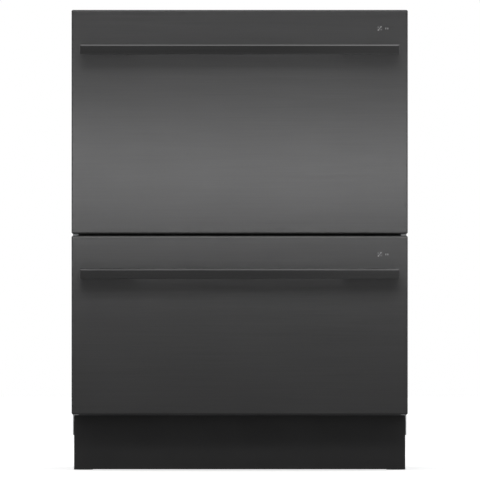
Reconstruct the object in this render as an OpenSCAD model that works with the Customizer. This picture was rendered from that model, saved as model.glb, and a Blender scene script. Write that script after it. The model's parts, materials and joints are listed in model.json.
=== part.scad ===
// Double drawer dishwasher: two wash drawers of one kind in a shared chassis.
// Millimetres. X is the width, the fronts face -Y, Z is up and 0 is the floor.

/* [Fronts] */
// Width of both drawer fronts
front_w = 599; // [560:1:640]
// Depth from the face of the fronts to the rear of the machine
body_depth = 573; // [540:1:620]
// Height of the lower front's bottom edge above the floor
kick_h = 99; // [95:0.5:120]
// Height of the lower front
lower_front_h = 318.5; // [300:0.5:350]
// Height of the upper front
upper_front_h = 399; // [360:0.5:440]
// Gap between the two fronts
front_gap = 3.5; // [2:0.5:6]
// Thickness of a whole front, from its face to its back
front_t = 30; // [28:0.5:36]
// Thickness of the front's steel skin
skin_t = 1; // [0.6:0.1:1.5]
// Radius of the folds and corners of the skin
fold_r = 3; // [2:0.5:5]
// Depth of the skin's side and bottom returns
skin_return = 18; // [12:1:22]
// Depth of the skin's return along its top edge
top_return = 6; // [4:0.5:7]
// Wall of the moulded frame behind the skin
frame_wall = 2.5; // [2:0.5:4]
// Number of cells between the frame's upright ribs
frame_cells = 8; // [6:1:10]
// Radius of the frame's screw bosses behind the handle
boss_r = 7; // [5:0.5:8]

/* [Handle] */
// Distance from the front's side to the handle bar's end
handle_inset = 15.5; // [5:0.5:60]
// Height of the handle bar
handle_h = 18; // [14:0.5:24]
// Thickness of the handle bar, front to back
handle_t = 14; // [8:0.5:18]
// How far the handle stands out from the face
handle_reach = 42; // [34:0.5:55]
// Chamfer along the bar's top edge
handle_chamfer = 2.3; // [1:0.1:4]
// Chamfer along the bar's bottom edge
bottom_chamfer = 0.8; // [0.4:0.1:2]
// Chamfer at the bar's ends
end_chamfer = 1.2; // [0.5:0.1:3]
// Width of each solid end mount
mount_w = 100; // [40:1:130]
// How far a mount is set in from the bar's end, bottom and top
mount_inset = 1; // [0.5:0.1:2]
// Drop from the lower front's top edge to its handle
lower_handle_drop = 58.5; // [48:0.5:80]
// Drop from the upper front's top edge to its handle
upper_handle_drop = 62; // [48:0.5:80]

/* [Indicator] */
// Distance from the front's side to the middle of the round lens
lens_inset = 50; // [40:0.5:80]
// Drop of the indicator below the front's top edge
lens_drop = 33; // [26:0.5:38]
// Radius of the round lens
lens_r = 5; // [3:0.5:7]
// Distance from the round lens to the first small light
light_offset = 10.9; // [10:0.1:14]
// Distance between the two small lights
light_pitch = 3.6; // [3:0.1:5]
// Height of a small light
light_h = 3; // [2:0.1:5]
// Width of a small light
light_w = 1.6; // [1:0.1:2.4]
// Gap around the lens and the lights in the skin
lens_gap = 0.1; // [0.05:0.05:0.2]
// Thickness of the indicator's backing plate
lens_plate_t = 2; // [1:0.5:3]
// Margin of the backing plate around the lens and the lights
lens_margin = 3; // [2:0.5:4]

/* [Controls] */
// Drop of the control strip's underside below the front's top edge
strip_drop = 12; // [11:0.5:16]
// Drop of the control strip's upper face below the front's top edge
strip_top_drop = 2; // [1:0.5:3]
// Thickness of the strip's plate around the buttons
strip_plate = 3; // [2:0.5:4]
// Wall at the ends and sides of the strip's well
strip_wall = 2.5; // [2:0.5:4]
// Length of a push button
button_l = 26; // [16:1:34]
// Width of a push button
button_w = 11; // [8:0.5:13]
// Distance between neighbouring buttons
button_pitch = 46; // [40:1:60]
// Travel of a push button
button_travel = 1.5; // [1:0.1:2]
// Height of a button's top above the strip
button_stand = 1.4; // [0.5:0.1:2]
// Width and height of the lip that holds a button in the strip
button_lip = 1; // [0.8:0.1:1.5]
// Clearance around a button in its hole
button_gap = 0.25; // [0.2:0.05:0.4]

/* [Chassis] */
// How far the chassis stands in from the fronts' sides
side_inset = 2; // [1:0.5:3]
// Thickness of the chassis sheet
sheet_t = 1.2; // [0.8:0.1:1.5]
// Width of the folded flanges on the side panels
flange_w = 10; // [8:0.5:12]
// Depth of the pressed stiffening beads
bead_d = 3; // [2:0.5:4]
// Width of the beads in the side panels
side_bead_w = 8; // [5:0.5:14]
// Drop of the side panels' two beads below each rim
bead_drops = [75, 205];
// Distance from a bead's end to the tub's end
bead_inset = 88; // [60:1:120]
// Width of the beads in the back panel
back_bead_w = 20; // [12:1:30]
// Distance from the back panel's ends to its beads
back_bead_inset = 60; // [40:5:100]
// Lift of the back panel above the base tray
panel_lift = 12; // [8:1:20]
// Gap between the back panel's edges and the side panels
panel_gap = 1; // [0.5:0.1:2]
// Distance between the back panel's beads
back_bead_pitch = 130; // [100:1:140]
// Gap between a closed front and the chassis
bumper_gap = 1.5; // [1:0.1:3]
// Height of the mid rail between the drawers
mid_rail_h = 18; // [12:1:30]
// Depth of the mid rail, front to back
mid_rail_d = 28; // [15:1:40]
// Height of the mid rail's underside above the lower front's top edge
mid_rail_lift = 0.1; // [0:0.1:1]
// Height of the top cover's folded front edge
cover_fold = 12; // [6:1:13]
// How far the top cover lies below the upper front's top edge
cover_drop = 1.2; // [1:0.1:2]
// Distance from the chassis side to a worktop screw hole
worktop_inset = 47.5; // [20:0.5:120]
// Distance from the chassis front to a worktop screw hole
worktop_y = 20; // [10:1:40]
// Radius of a worktop screw hole
worktop_r = 2.5; // [2:0.1:3]

/* [Base] */
// How far the toe kick stands in from the fronts' sides
toe_inset = 4; // [2:0.5:15]
// How far the toe kick stands back from the fronts
toe_setback = 50; // [45:1:70]
// Gap above the toe kick
toe_gap = 2; // [1.5:0.5:4]
// Gap below the toe kick
toe_floor_gap = 1; // [1:0.5:5]
// Width of the toe kick's folded foot
toe_fold = 12; // [8:1:20]
// Drop from the lower front's bottom edge to the base tray
tray_drop = 11; // [8:0.5:14]
// Height of the front lip above the base tray
lip_rise = 7; // [4:0.5:8]
// Distance from the toe kick's end to the front lip's end
lip_inset = 10; // [6:1:30]
// Height of the base rails
rail_h = 26; // [20:1:28]
// Width of the base rails, front to back
rail_w = 36; // [30:1:44]

/* [Feet] */
// Distance from the chassis side to a foot
foot_inset = 18.5; // [17.5:0.5:20]
// Radius of a foot's pad
foot_r = 17; // [14:0.5:18]
// Height of a foot's pad
foot_pad_h = 12; // [8:1:16]
// Height of the upright rim around a foot's pad
foot_rim_h = 4; // [2:0.5:6]
// Radius of a foot's threaded stud
stud_r = 5; // [4:0.5:5]
// Height of the stud's top above the base tray
stud_rise = 52; // [45:1:60]
// Wall of the rail's socket around a stud
socket_wall = 4; // [3:0.5:6]
// Distance from the chassis front to the front feet
front_foot_y = 50; // [48:1:80]
// Distance from the rear to the rear feet
rear_foot_y = 32; // [28:1:60]

/* [Tub] */
// Space for the runners between a tub's wall and the side panel
side_space = 26.3; // [25.5:0.1:30]
// Space behind a tub for its folding hose link
rear_space = 59; // [50:1:80]
// Space below a wash motor
motor_gap = 12.8; // [6:0.1:20]
// Thickness of a tub's walls
tub_wall = 3; // [2:0.5:4]
// Radius of a tub's upright corners
tub_r = 40; // [30:1:50]
// Overhang of the rim around a tub
rim_over = 8; // [7:0.5:8]
// Height of the rim's edge
rim_h = 8; // [6:0.5:12]
// Thickness of the gutter's lip below a rim
gutter_wall = 2; // [1.5:0.5:3]
// Thickness of the ribs below a rim
rib_t = 2.5; // [2:0.1:3]
// Height of the ribs below a rim
rib_h = 60; // [40:1:70]
// Distance between neighbouring ribs below a rim
rib_pitch = 60; // [45:1:80]
// Radius of the sump opening
sump_r = 60; // [50:1:70]
// Width of the dished floor around the sump
dish_w = 40; // [30:1:45]
// Depth of the dished floor
dish_h = 12; // [8:1:13]
// Depth of the sump below the dish
sump_h = 10; // [6:1:11]
// Width of the four posts that the rack stands on
post_w = 16; // [10:1:18]
// Length of the four posts
post_l = 30; // [20:1:40]
// Distance from the posts to the tub's end
post_inset = 88; // [70:1:110]
// Width of the pads between a tub and its runners and front
pad_w = 24; // [16:1:30]
// Height of the pads at a tub's front
front_pad_h = 40; // [20:1:60]
// Height of the pads at a tub's runners
runner_pad_h = 20; // [12:1:30]
// Distance from a tub's side to its front pads
front_pad_inset = 80; // [60:1:120]
// Height of the front pads above a tub's floor
front_pad_lift = 20; // [10:1:60]

/* [Wash system] */
// Radius of the wash motor
motor_r = 70; // [60:1:80]
// Height of the wash motor
motor_h = 25; // [18:1:26]
// Number of cooling fins around the wash motor
motor_fins = 12; // [8:1:18]
// Clearance between the spray arm's tips and what stands around it
arm_gap = 20; // [12:1:40]
// Height of the spray arm's blades above the tub's floor
arm_lift = 8; // [7:0.5:10]
// Height of the spray arm's blades
blade_h = 12; // [8:1:13]
// Half the width of a blade at its root
blade_root = 22; // [16:0.5:28]
// Radius of a blade's tip
tip_r = 12; // [8:0.5:16]
// How far a blade's tip is swept to one side
tip_sweep = 6; // [0:0.5:10]
// Distance from the axis to the first nozzle
first_nozzle = 62; // [40:1:80]
// Distance between neighbouring nozzles
nozzle_pitch = 32; // [20:1:40]
// Radius of a nozzle
nozzle_r = 2; // [1:0.1:3]
// Depth of a nozzle's hollow
nozzle_d = 3; // [1:0.5:5]
// Radius of the spindle that the spray arm turns on
spindle_r = 6; // [5:0.5:7]
// Radial clearance of the spray arm on its spindle
spindle_gap = 0.05; // [0.02:0.01:0.08]
// Thickness of the filter plate
filter_t = 2.5; // [1.5:0.5:4]
// Overlap of the filter plate past the dished floor
filter_lap = 10; // [4:1:15]
// Number of slots in each ring of the filter plate
filter_slots = 20; // [12:1:24]
// Width of a slot in the filter plate
filter_slot_w = 3; // [2:0.1:4]
// Length of a slot in the outer ring of the filter plate
filter_slot_l = 16; // [10:1:18]

/* [Lid] */
// Travel of the lid down to the rim
lid_travel = 6.5; // [4:0.1:8]
// Height of the lid
lid_h = 13; // [10:0.5:15]
// Thickness of the lid's plate
lid_t = 3; // [2:0.5:4]
// Width of the lid's skirt
skirt_w = 11; // [8:0.5:14]
// Gap between the raised lid and what lies above it
lid_gap = 0.7; // [0.5:0.1:2]
// Gap between the lowered seal and the rim
seal_clear = 0.4; // [0.3:0.1:1]
// How far the lid's sides lie inside the rim's
lid_side_inset = 2; // [1:0.5:4]
// How far the lid's ends lie inside the rim's
lid_end_inset = 4; // [3:0.5:6]
// Height of the ribs below the lid's plate
lid_rib_h = 6; // [3:0.5:7]
// Distance between the ribs below the lid's plate
lid_rib_pitch = 80; // [50:1:100]
// Height of the lid's rubber seal
seal_h = 5; // [3:0.5:5]
// Width of the lid's rubber seal
seal_w = 7; // [5:0.5:8]
// Radius of the lid's guide pegs
peg_r = 3; // [2:0.1:3.5]
// Length of the lid's guide pegs
peg_reach = 10; // [8:0.5:12]
// Distance between the guide pegs on one side of the lid
peg_pitch = 260; // [200:1:300]
// Length of the guide blocks on the side panels
lifter_l = 28; // [20:1:40]
// Gap between the lid's side and a guide block
lifter_gap = 5; // [3:0.5:7]

/* [Rack] */
// Gap between the rack and the tub's walls
rack_gap = 9; // [7:0.5:14]
// Height of the rack's base above the tub's floor
rack_lift = 35; // [34:0.5:38]
// Drop from the rim to the rack's top
rack_drop = 70; // [60:1:90]
// Thickness of the rack's bars
bar_t = 4; // [3:0.1:4.5]
// Number of cells across the rack's base
cells_x = 12; // [8:1:14]
// Number of cells along the rack's base
cells_y = 10; // [8:1:12]
// Number of rows of cells in the rack's sides
side_rows = 2; // [1:1:3]
// Distance between neighbouring tines
tine_pitch = 36; // [30:1:45]
// Distance between neighbouring rows of tines
row_pitch = 78; // [60:1:100]
// Gap between the tines and the cup rack folded down over them
tine_gap = 29; // [20:1:50]
// Length and width of the taper at a tine's tip
tine_tip = [2, 1];
// Least distance from the rack's front and rear to the tines
row_margin = 50; // [30:1:65]
// Distance from the rack's right side to the last tine
tine_margin = 10; // [6:1:16]
// Least distance between the cutlery basket and the tines
basket_clear = 40; // [30:1:55]

/* [Baskets] */
// Width of the cutlery basket
basket_w = 76; // [60:1:78]
// Length of the cutlery basket
basket_l = 220; // [160:1:260]
// Height of the cutlery basket
basket_h = 100; // [80:1:105]
// Number of cells along the cutlery basket
basket_cells = 3; // [2:1:5]
// Wall of the cutlery basket
basket_wall = 2; // [1.5:0.1:2.5]
// Gap between the cutlery basket and the rack's side
basket_gap = 2; // [1:0.5:4]
// Number of slots in the long side of a basket cell
basket_slots = 4; // [2:1:5]
// Width of a slot in the basket's sides
basket_slot_w = 8; // [5:0.5:8]
// Margin above and below the slots in the basket's sides
basket_margin = 16; // [10:1:20]
// Height of the basket's end handles
grip_h = 24; // [18:1:28]
// Margin of the finger hole in an end handle
grip_margin = 7; // [5:0.5:9]
// Depth of the folding cup rack
cup_rack_d = 90; // [60:1:92]
// Drop from the rack's top to the cup rack's hinge rod
rod_drop = 30; // [25:1:40]
// Radius of the cup rack's hinge rod
rod_r = 2.5; // [2:0.1:2.8]
// Number of cells along the cup rack
cup_cells = 8; // [5:1:10]
// Length of the clips that hold the hinge rod
clip_l = 8; // [6:0.5:12]
// Wall of the clips around the hinge rod
clip_wall = 2.5; // [2:0.1:3]

/* [Dispenser] */
// Width of the detergent dispenser
dispenser_w = 150; // [130:1:160]
// Height of the detergent dispenser
dispenser_h = 55; // [52:1:58]
// Depth of the detergent dispenser
dispenser_d = 20; // [14:1:24]
// Drop from the rim to the dispenser's top
dispenser_drop = 10; // [9:0.5:14]
// Width of the dispenser's flap
flap_w = 66; // [50:1:68]
// Height of the dispenser's flap
flap_h = 42; // [34:1:44]
// Thickness of the dispenser's flap
flap_t = 2.5; // [2:0.1:3]
// Width, thickness and height of the flap's finger tab
flap_tab = [20, 3, 4];
// Distance from the dispenser's left edge and bottom to the flap and its axis
flap_margin = 6; // [5:0.5:8]
// Radius of the flap's hinge pins
flap_pin_r = 1.5; // [1.2:0.1:1.8]
// Thickness of the ears that carry the flap
ear_t = 3; // [2:0.5:4]
// Height of the ears that carry the flap
ear_h = 6; // [5:0.5:7]
// Thickness of the walls around the detergent well
well_wall = 3; // [2:0.5:4]
// Radius of the rinse-aid cap
cap_r = 16; // [12:0.5:20]
// Height of the rinse-aid cap
cap_t = 3; // [2:0.5:5]
// Distance from the dispenser's right edge to the middle of the cap
cap_inset = 34; // [26:0.5:40]

/* [Runners] */
// Distance from the fixed runner members to the rear
runner_rear = 37.5; // [30:0.5:60]
// Distance from the chassis front to the runners
runner_front = 4; // [3:0.5:10]
// Height of the fixed runner members
runner_h = 45.6; // [40:0.2:50]
// Thickness of the runner sheet
runner_t = 1.2; // [1:0.1:1.3]
// Drop from the rim to the runners' centre line
runner_drop = 150; // [120:1:165]
// Depth of the fixed members' channel
fixed_d = 10.5; // [10:0.1:11]
// Depth of the middle members' channel
middle_d = 8.6; // [8:0.1:8.8]
// Gap between the webs of the fixed and the middle members
web_gap = 1; // [0.5:0.1:1.2]
// How far an inner member stands out of the fixed one, towards the tub
inner_step = 0.9; // [0.5:0.1:1.5]
// How much shorter the moving members are than the fixed ones
member_short = 20; // [10:1:40]
// Thickness of the brackets behind the fixed members
bracket_t = 8.3; // [8:0.1:10]
// Length and height of the brackets
bracket_l = 34; // [24:1:40]
// Distance from a runner's ends to its first and last bracket screws
bracket_inset = 30; // [20:1:60]

/* [Services] */
// Height of the water inlet and drain spigot above the floor
service_z = 40; // [38:1:42]
// Distance from the rear to the services plate
service_recess = 96; // [90:1:110]
// Distance from the chassis side to the services plate's end
plate_inset = 57.5; // [40:0.5:80]
// Drop of the services plate below the inlet's centre
plate_drop = 18; // [17:0.5:20]
// Distance from the chassis side to the water inlet
inlet_inset = 117.5; // [90:0.5:180]
// Radius over the water inlet's thread
inlet_r = 13.1; // [10:0.1:13.5]
// Length of the water inlet's thread
inlet_l = 13; // [10:0.5:14]
// Wall of the water inlet
inlet_wall = 3; // [2:0.5:4]
// Width of the water valve's body
valve_w = 40; // [34:1:50]
// Depth of the water valve's body
valve_d = 26; // [20:1:28]
// Height of the water valve's body
valve_h = 38; // [34:1:44]
// Radius of the water valve's coil
coil_r = 10; // [8:0.5:12]
// Height of the water valve's coil
coil_h = 18; // [12:1:20]
// Distance from the chassis side to the drain spigot
drain_inset = 147.5; // [110:0.5:180]
// Radius of the drain spigot
drain_r = 9.5; // [8:0.1:11]
// Length of the drain spigot
drain_l = 30; // [20:1:36]
// Wall of the drain spigot
drain_wall = 2; // [1.5:0.1:3]
// Radius of the hole in the cord gland
gland_r = 5; // [4:0.1:6]
// Wall of the cord gland
gland_wall = 4; // [2:0.5:5]
// Length of the cord gland
gland_l = 14; // [10:1:20]
// Height of the cord gland above the water inlet
gland_rise = 6; // [2:1:10]
// Radius of the screws through the panels
screw_r = 2; // [1.5:0.1:2.4]
// Height of a screw's head
screw_head_h = 1.5; // [1:0.1:2.5]

/* [Hidden] */
$fn = 48;

// The two drawers
lower = 0;
upper = 1;

// Clearances and small allowances
gap = 0.3;          // between separate pieces that don't touch
fit_gap = 0.05;     // radial clearance of a pin or stud in its hole
seam = 0.02;        // hairline between the solids of one moulding or weldment
cut = 1;            // how far a cutting tool runs past a face, or a piece into what holds it

// Places along Y
rear_y = (body_depth + handle_reach) / 2;
face_y = rear_y - body_depth;
front_back_y = face_y + front_t;
chassis_y = front_back_y + bumper_gap;
toe_y = face_y + toe_setback;
back_y = rear_y - screw_head_h - sheet_t;
flange_y = back_y - sheet_t;

// Places along Z
front_z = [kick_h, kick_h + lower_front_h + front_gap];
front_h = [lower_front_h, upper_front_h];
front_top = front_z + front_h;
handle_top = front_top - [lower_handle_drop, upper_handle_drop];
cover_z = front_top[upper] - cover_drop;
side_top = cover_z - sheet_t;
mid_rail_z = front_top[lower] + mid_rail_lift;
tray_z = kick_h - tray_drop;
base_z = tray_z - rail_h;

// Chassis
side_x = front_w / 2 - side_inset;
inner_x = side_x - sheet_t;
toe_w = front_w - 2 * toe_inset;
tray_y = toe_y + sheet_t;
foot_x = side_x - foot_inset;
foot_y = [chassis_y + front_foot_y, rear_y - rear_foot_y];
stud_top = tray_z + stud_rise;
back_screw_x = side_x - flange_w / 2;
back_screws = 4;
back_screw_inset = 30;
back_screw_z = [for (i = [0:back_screws - 1])
    tray_z + back_screw_inset
    + i * (side_top - tray_z - 2 * back_screw_inset) / (back_screws - 1)];

// Front
skin_back = face_y + skin_t;
frame_x = front_w / 2 - skin_t - gap;
lens_x = front_w / 2 - lens_inset;
handle_len = front_w - 2 * handle_inset;
strip_y = face_y + top_return + gap;

// Lid, stacked up from the rim of its tub
lid_stack = seal_clear + lid_travel + seal_h + lid_h;
rim_z = [mid_rail_z, side_top] - [1, 1] * (lid_gap + lid_stack);
seal_z = lid_travel + seal_clear;
lid_z = seal_z + seal_h;

// Tub, down to the wash motor above the base tray
tub_w = 2 * (inner_x - side_space);
tub_y = front_back_y + rim_over;
tub_l = rear_y - rear_space - tub_y;
tub_cy = tub_y + tub_l / 2;
tub_h = rim_z[lower] - tray_z - sheet_t - motor_gap - motor_h - tub_wall - sump_h - dish_h;
floor_z = -tub_h;
sump_floor_z = floor_z - dish_h - sump_h;
motor_z = sump_floor_z - tub_wall;
inner_w = tub_w - 2 * tub_wall;
inner_l = tub_l - 2 * tub_wall;
wall_face_y = tub_y + tub_wall;
rim_w = tub_w + 2 * rim_over;
rim_l = tub_l + 2 * rim_over;

// Lid's outline, guide pegs and guide blocks
lid_w = rim_w - 2 * lid_side_inset;
lid_l = rim_l - 2 * lid_end_inset;
lid_r = tub_r + 2;
peg_z = lid_z + lid_h / 2 - 2;
peg_y = [tub_cy - peg_pitch / 2, tub_cy + peg_pitch / 2];
lifter_x = lid_w / 2 + lifter_gap;
lifter_z = 1.5;

// Runners
fixed_x = inner_x - bracket_t;
middle_x = fixed_x - runner_t - web_gap;
inner_member_x = fixed_x - fixed_d - inner_step;
member_step = 2 * (runner_t + gap);
member_h = [runner_h, runner_h - member_step, runner_h - 2 * member_step];
runner_y = chassis_y + runner_front;
runner_l = rear_y - runner_rear - runner_y;
moving_l = runner_l - member_short;
bracket_y = [for (i = [0:2]) runner_y + bracket_inset + i * (runner_l - 2 * bracket_inset) / 2];

// Spray arm and filter
filter_r = sump_r + dish_w + filter_lap;
shoulder_r = spindle_r + 6;
hub_r = spindle_r + 10;
arm_r = min(inner_l / 2, inner_w / 2 - post_w) - arm_gap;
arm_z = floor_z + arm_lift;
hub_drop = 2;
hub_rise = 6;
hub_z = arm_z - hub_drop;
hub_h = hub_drop + blade_h + hub_rise;
hub_roof = 4;
spindle_top = hub_z + hub_h - hub_roof;
nozzles = floor((arm_r - tip_r - first_nozzle) / nozzle_pitch) + 1;

// Rack
rack_w = inner_w - 2 * rack_gap;
rack_l = inner_l - 2 * rack_gap;
rack_h = tub_h - rack_lift - rack_drop;
rack_z = floor_z + rack_lift;
deck_z = rack_z + bar_t;
rack_r = tub_r - tub_wall - rack_gap;
fence_h = rack_h - bar_t;
fence_step = fence_h / side_rows;
tine_h = fence_h - rod_drop - bar_t / 2 - tine_gap;
basket_x = -rack_w / 2 + bar_t + basket_gap;
tine_room = rack_w - 2 * bar_t - basket_gap - basket_w - basket_clear - tine_margin;
tine_count = floor(tine_room / tine_pitch) + 1;
row_count = floor((rack_l - 2 * bar_t - 2 * row_margin) / row_pitch) + 1;
row_x = rack_w / 2 - bar_t - tine_margin - (tine_count - 1) * tine_pitch;
row_y = [for (j = [0:row_count - 1]) (j - (row_count - 1) / 2) * row_pitch];

// Cup rack
clip_r = rod_r + clip_wall;
rod_x = rack_w / 2 - bar_t - clip_r;
rod_z = rack_z + rack_h - rod_drop;
clip_y = (rack_l - bar_t) / 2 - 2 * (rack_l - bar_t) / cells_y;
cup_rack_l = 2 * clip_y - 2 * clip_l;

// Dispenser
dispenser_z = -dispenser_drop - dispenser_h;
window_w = dispenser_w + 2 * gap;
window_h = dispenser_h + 2 * gap;
flap_x = -dispenser_w / 2 + flap_margin + flap_w / 2;
flap_axis_y = wall_face_y + gap + flap_t / 2 + fit_gap;
flap_axis_z = dispenser_z + flap_margin;

// Services
plate_y = rear_y - service_recess;
inlet_x = side_x - inlet_inset;
drain_x = side_x - drain_inset;
gland_z = service_z + gland_rise;

// ---------- shared shapes ----------

// Rounded rectangle centred on the origin
module rounded_rect(w, l, r) {
    square([w - 2 * r, l], center = true);
    square([w, l - 2 * r], center = true);
    for (x = [-1, 1], y = [-1, 1])
        translate([x * (w / 2 - r), y * (l / 2 - r)]) circle(r = r);
}

// Outline with round corners at its front (low Y) only
module front_rounded(w, d, r) {
    translate([-w / 2, r]) square([w, d - r]);
    translate([-w / 2 + r, 0]) square([w - 2 * r, 2 * r]);
    for (x = [-1, 1])
        translate([x * (w / 2 - r), r]) circle(r = r);
}

// Solid with its front edges and upright corners rounded, its front face at Y = 0
module pillow_block(w, d, h, r) {
    intersection() {
        linear_extrude(height = h)
            front_rounded(w, d, r);
        translate([-w / 2, 0, h / 2])
            rotate([90, 0, 90]) linear_extrude(height = w) rotate(-90) front_rounded(h, d, r);
        translate([0, d, h / 2])
            rotate([90, 0, 0]) linear_extrude(height = d) rounded_rect(w, h, r);
    }
}

// The rectangular openings of a lattice, from the origin
module cells(w, h, nx, ny, bar) {
    cell_w = (w - bar) / nx - bar;
    cell_h = (h - bar) / ny - bar;
    for (i = [0:nx - 1], j = [0:ny - 1])
        translate([bar + i * (cell_w + bar), bar + j * (cell_h + bar)])
            square([cell_w, cell_h]);
}

// Oblong with round ends, along X
module oblong(l, w) {
    square([l - w, w], center = true);
    for (x = [-1, 1])
        translate([x * (l - w) / 2, 0]) circle(r = w / 2);
}

// Ring of a given width inside a rounded rectangle
module rounded_ring(w, l, r, ring) {
    difference() {
        rounded_rect(w, l, r);
        rounded_rect(w - 2 * ring, l - 2 * ring, r - ring);
    }
}

// The same piece on the +X side and on the -X side
module both_sides() {
    children();
    mirror([1, 0, 0]) children();
}

// Pan-head screw with its head above the XY plane
module pan_screw(shank_l) {
    cylinder(r1 = 2 * screw_r, r2 = 1.6 * screw_r, h = screw_head_h);
    translate([0, 0, -shank_l]) cylinder(r = screw_r, h = shank_l);
}

// ---------- chassis ----------

// Outline of a side panel in Y and Z, with the toe recess at its lower front
function side_outline() = [
    [chassis_y, kick_h - cut], [chassis_y, side_top], [back_y, side_top],
    [back_y, base_z], [tray_y, base_z], [tray_y, kick_h - cut]
];

// One side panel, on the +X side, with its flanges and pressed beads
module side_panel() {
    bead_l = tub_l - 2 * bead_inset;
    difference() {
        union() {
            translate([inner_x, 0, 0])
                rotate([90, 0, 90]) linear_extrude(height = sheet_t) polygon(side_outline());
            translate([side_x - flange_w, chassis_y, kick_h - cut])
                cube([flange_w, sheet_t, side_top - kick_h + cut]);
            translate([side_x - flange_w, flange_y, base_z])
                cube([flange_w, sheet_t, side_top - base_z]);
            for (d = [lower, upper], drop = bead_drops)
                translate([side_x - bead_d, tub_cy, rim_z[d] - drop])
                    rotate([90, 0, 90]) linear_extrude(height = bead_d)
                        oblong(bead_l, side_bead_w);
        }
        for (d = [lower, upper], drop = bead_drops)
            translate([side_x - bead_d + sheet_t, tub_cy, rim_z[d] - drop])
                rotate([90, 0, 90]) linear_extrude(height = bead_d)
                    oblong(bead_l - 2 * sheet_t, side_bead_w - 2 * sheet_t);
        for (d = [lower, upper], y = bracket_y)
            translate([inner_x - cut, y, rim_z[d] - runner_drop])
                rotate([0, 90, 0]) cylinder(r = screw_r + fit_gap, h = sheet_t + 2 * cut);
        back_screw_holes();
    }
}

module side_panels() {
    color("gainsboro")
        both_sides()
            side_panel();
}

// Screw holes through the back panel and the side panels' rear flanges
module back_screw_holes() {
    for (z = back_screw_z)
        translate([back_screw_x, back_y + sheet_t + cut, z])
            rotate([90, 0, 0]) cylinder(r = screw_r + fit_gap, h = 2 * sheet_t + 2 * cut);
}

// Back panel with pressed upright beads, clear of the services at the bottom
module back_panel() {
    bottom = tray_z + panel_lift;
    panel_w = 2 * (inner_x - panel_gap);
    bead_l = side_top - bottom - 2 * back_bead_inset;
    beads = [for (i = [-1.5:1.5]) i * back_bead_pitch];
    color("silver")
        difference() {
            union() {
                translate([-panel_w / 2, back_y, bottom])
                    cube([panel_w, sheet_t, side_top - bottom]);
                for (x = beads)
                    translate([x, back_y, (bottom + side_top) / 2])
                        rotate([90, 90, 0]) linear_extrude(height = bead_d)
                            oblong(bead_l, back_bead_w);
            }
            for (x = beads)
                translate([x, back_y + sheet_t + cut, (bottom + side_top) / 2])
                    rotate([90, 90, 0]) linear_extrude(height = bead_d + cut)
                        oblong(bead_l - 2 * sheet_t, back_bead_w - 2 * sheet_t);
            both_sides()
                back_screw_holes();
        }
}

// Base tray with the lip that backs the toe kick, and the services plate below it
module base_tray() {
    color("darkgray") {
        difference() {
            union() {
                translate([-inner_x, tray_y, tray_z])
                    cube([2 * inner_x, flange_y - gap - tray_y, sheet_t]);
                translate([-toe_w / 2 + lip_inset, tray_y, base_z])
                    cube([toe_w - 2 * lip_inset, sheet_t, tray_z + lip_rise - base_z]);
            }
            stud_holes();
        }
        services_plate();
    }
}

// Holes for the four levelling studs, through the base tray and its rails
module stud_holes() {
    for (y = foot_y, x = [-1, 1])
        translate([x * foot_x, y, base_z - cut])
            cylinder(r = stud_r + fit_gap, h = rail_h + sheet_t + 2 * cut);
}

// Two cross rails below the tray, each a pair of webs with a threaded socket at both ends
module base_rails() {
    color("darkgray")
        difference() {
            for (y = foot_y) {
                for (s = [-rail_w / 2, rail_w / 2 - sheet_t])
                    translate([-inner_x, y + s, base_z])
                        cube([2 * inner_x, sheet_t, rail_h]);
                for (x = [-1, 1])
                    translate([x * foot_x, y, base_z]) {
                        cylinder(r = stud_r + socket_wall, h = rail_h);
                        translate([-sheet_t, -rail_w / 2, 0])
                            cube([2 * sheet_t, rail_w, rail_h]);
                    }
            }
            stud_holes();
        }
}

// Plate that carries the water valve, the drain joiner and the cord gland
module services_plate() {
    bottom = service_z - plate_drop;
    plate_w = 2 * (side_x - plate_inset);
    difference() {
        union() {
            translate([-plate_w / 2, plate_y, bottom])
                cube([plate_w, sheet_t, tray_z - seam - bottom]);
            translate([0, plate_y, gland_z])
                rotate([-90, 0, 0]) cylinder(r = gland_r + gland_wall, h = gland_l);
        }
        translate([0, plate_y - cut, gland_z])
            rotate([-90, 0, 0]) cylinder(r = gland_r, h = gland_l + 2 * cut);
    }
}

// Channel between the two drawers, seen as the dark line between the fronts
module mid_rail() {
    color("dimgray")
        translate([-inner_x, chassis_y + sheet_t, mid_rail_z]) {
            cube([2 * inner_x, sheet_t, mid_rail_h]);
            for (z = [0, mid_rail_h - sheet_t])
                translate([0, 0, z]) cube([2 * inner_x, mid_rail_d, sheet_t]);
        }
}

// Top cover with its folded front edge and the two holes for the worktop screws
module top_cover() {
    fold_w = 2 * (side_x - flange_w - gap);
    color("gainsboro")
        difference() {
            union() {
                translate([-side_x, chassis_y, side_top])
                    cube([2 * side_x, back_y + sheet_t - chassis_y, sheet_t]);
                translate([-fold_w / 2, chassis_y, cover_z - cover_fold])
                    cube([fold_w, sheet_t, cover_fold]);
            }
            for (x = [-1, 1])
                translate([x * (side_x - worktop_inset), chassis_y + worktop_y, side_top - cut])
                    cylinder(r = worktop_r, h = sheet_t + 2 * cut);
        }
}

// Toe kick: a folded sheet below the lower drawer
module toe_kick() {
    color([0.1, 0.1, 0.1])
        translate([-toe_w / 2, toe_y, toe_floor_gap]) {
            cube([toe_w, sheet_t, kick_h - toe_gap - toe_floor_gap]);
            cube([toe_w, toe_fold, sheet_t]);
        }
}

// Levelling foot: a round pad on a threaded stud
module foot(x, y) {
    color("dimgray")
        translate([x, y, 0]) {
            cylinder(r = foot_r, h = foot_rim_h);
            translate([0, 0, foot_rim_h])
                cylinder(r1 = foot_r, r2 = stud_r + socket_wall, h = foot_pad_h - foot_rim_h);
            cylinder(r = stud_r, h = stud_top);
        }
}

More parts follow.
